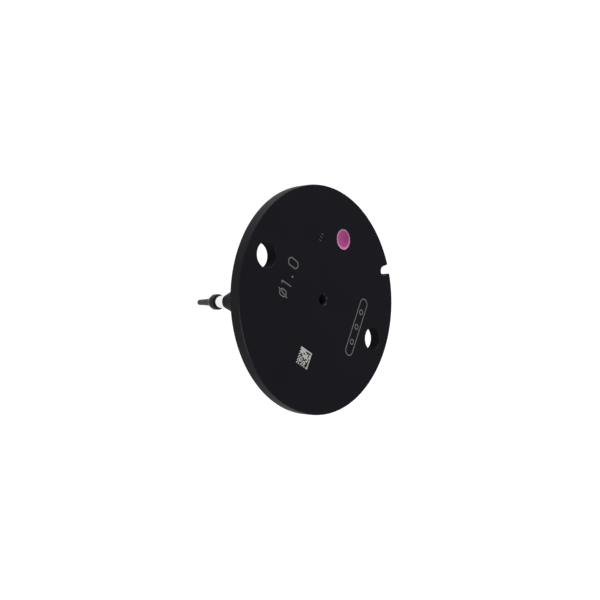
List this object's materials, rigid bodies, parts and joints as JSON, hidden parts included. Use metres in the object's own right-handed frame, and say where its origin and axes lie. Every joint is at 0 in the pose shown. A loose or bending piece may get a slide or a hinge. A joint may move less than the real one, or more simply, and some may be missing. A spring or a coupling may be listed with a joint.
{
  "type": "smt pick up nozzle",
  "caption": "Sprung vacuum pick-up nozzle: a round flange with locating holes and a rim notch over a cone-nosed barrel, with a polished sliding tube, a collar and a fine tip.",
  "frame": {"origin": "centre of the flange's seating face, on the nozzle's axis", "axes": "+Z out of the seating face, away from the tip; +X towards the locating hole nearer the index notch; +Y towards the colour dot"},
  "size_m": [0.036, 0.036, 0.03],
  "materials": {
    "black_anodised": "matt black anodised",
    "pink_enamel": "gloss enamel",
    "bronze": "turned",
    "pin_steel": "ground",
    "spring_steel": "drawn wire",
    "turned_steel": "turned",
    "polished_steel": "polished",
    "black_steel": "black coated",
    "black_ceramic": "ground"
  },
  "bodies": {
    "nozzle_body": {"flange_disc": "black_anodised", "colour_dot": "pink_enamel", "barrel": "black_anodised", "guide_bush": "bronze", "guide_pin": "pin_steel", "buffer_spring": "spring_steel"},
    "plunger": {"shaft_head": "turned_steel", "nozzle_shaft": "polished_steel", "tip_collar": "black_steel", "ceramic_tip": "black_ceramic"}
  },
  "joints": [
    {"name": "buffer_slide", "type": "slide", "parent": "nozzle_body", "child": "plunger", "axis": [0, 0, 1], "range_m": [0, 0.002], "stiffness_N_per_m": 200, "springref_m": -0.003, "deforming": ["buffer_spring"]}
  ]
}
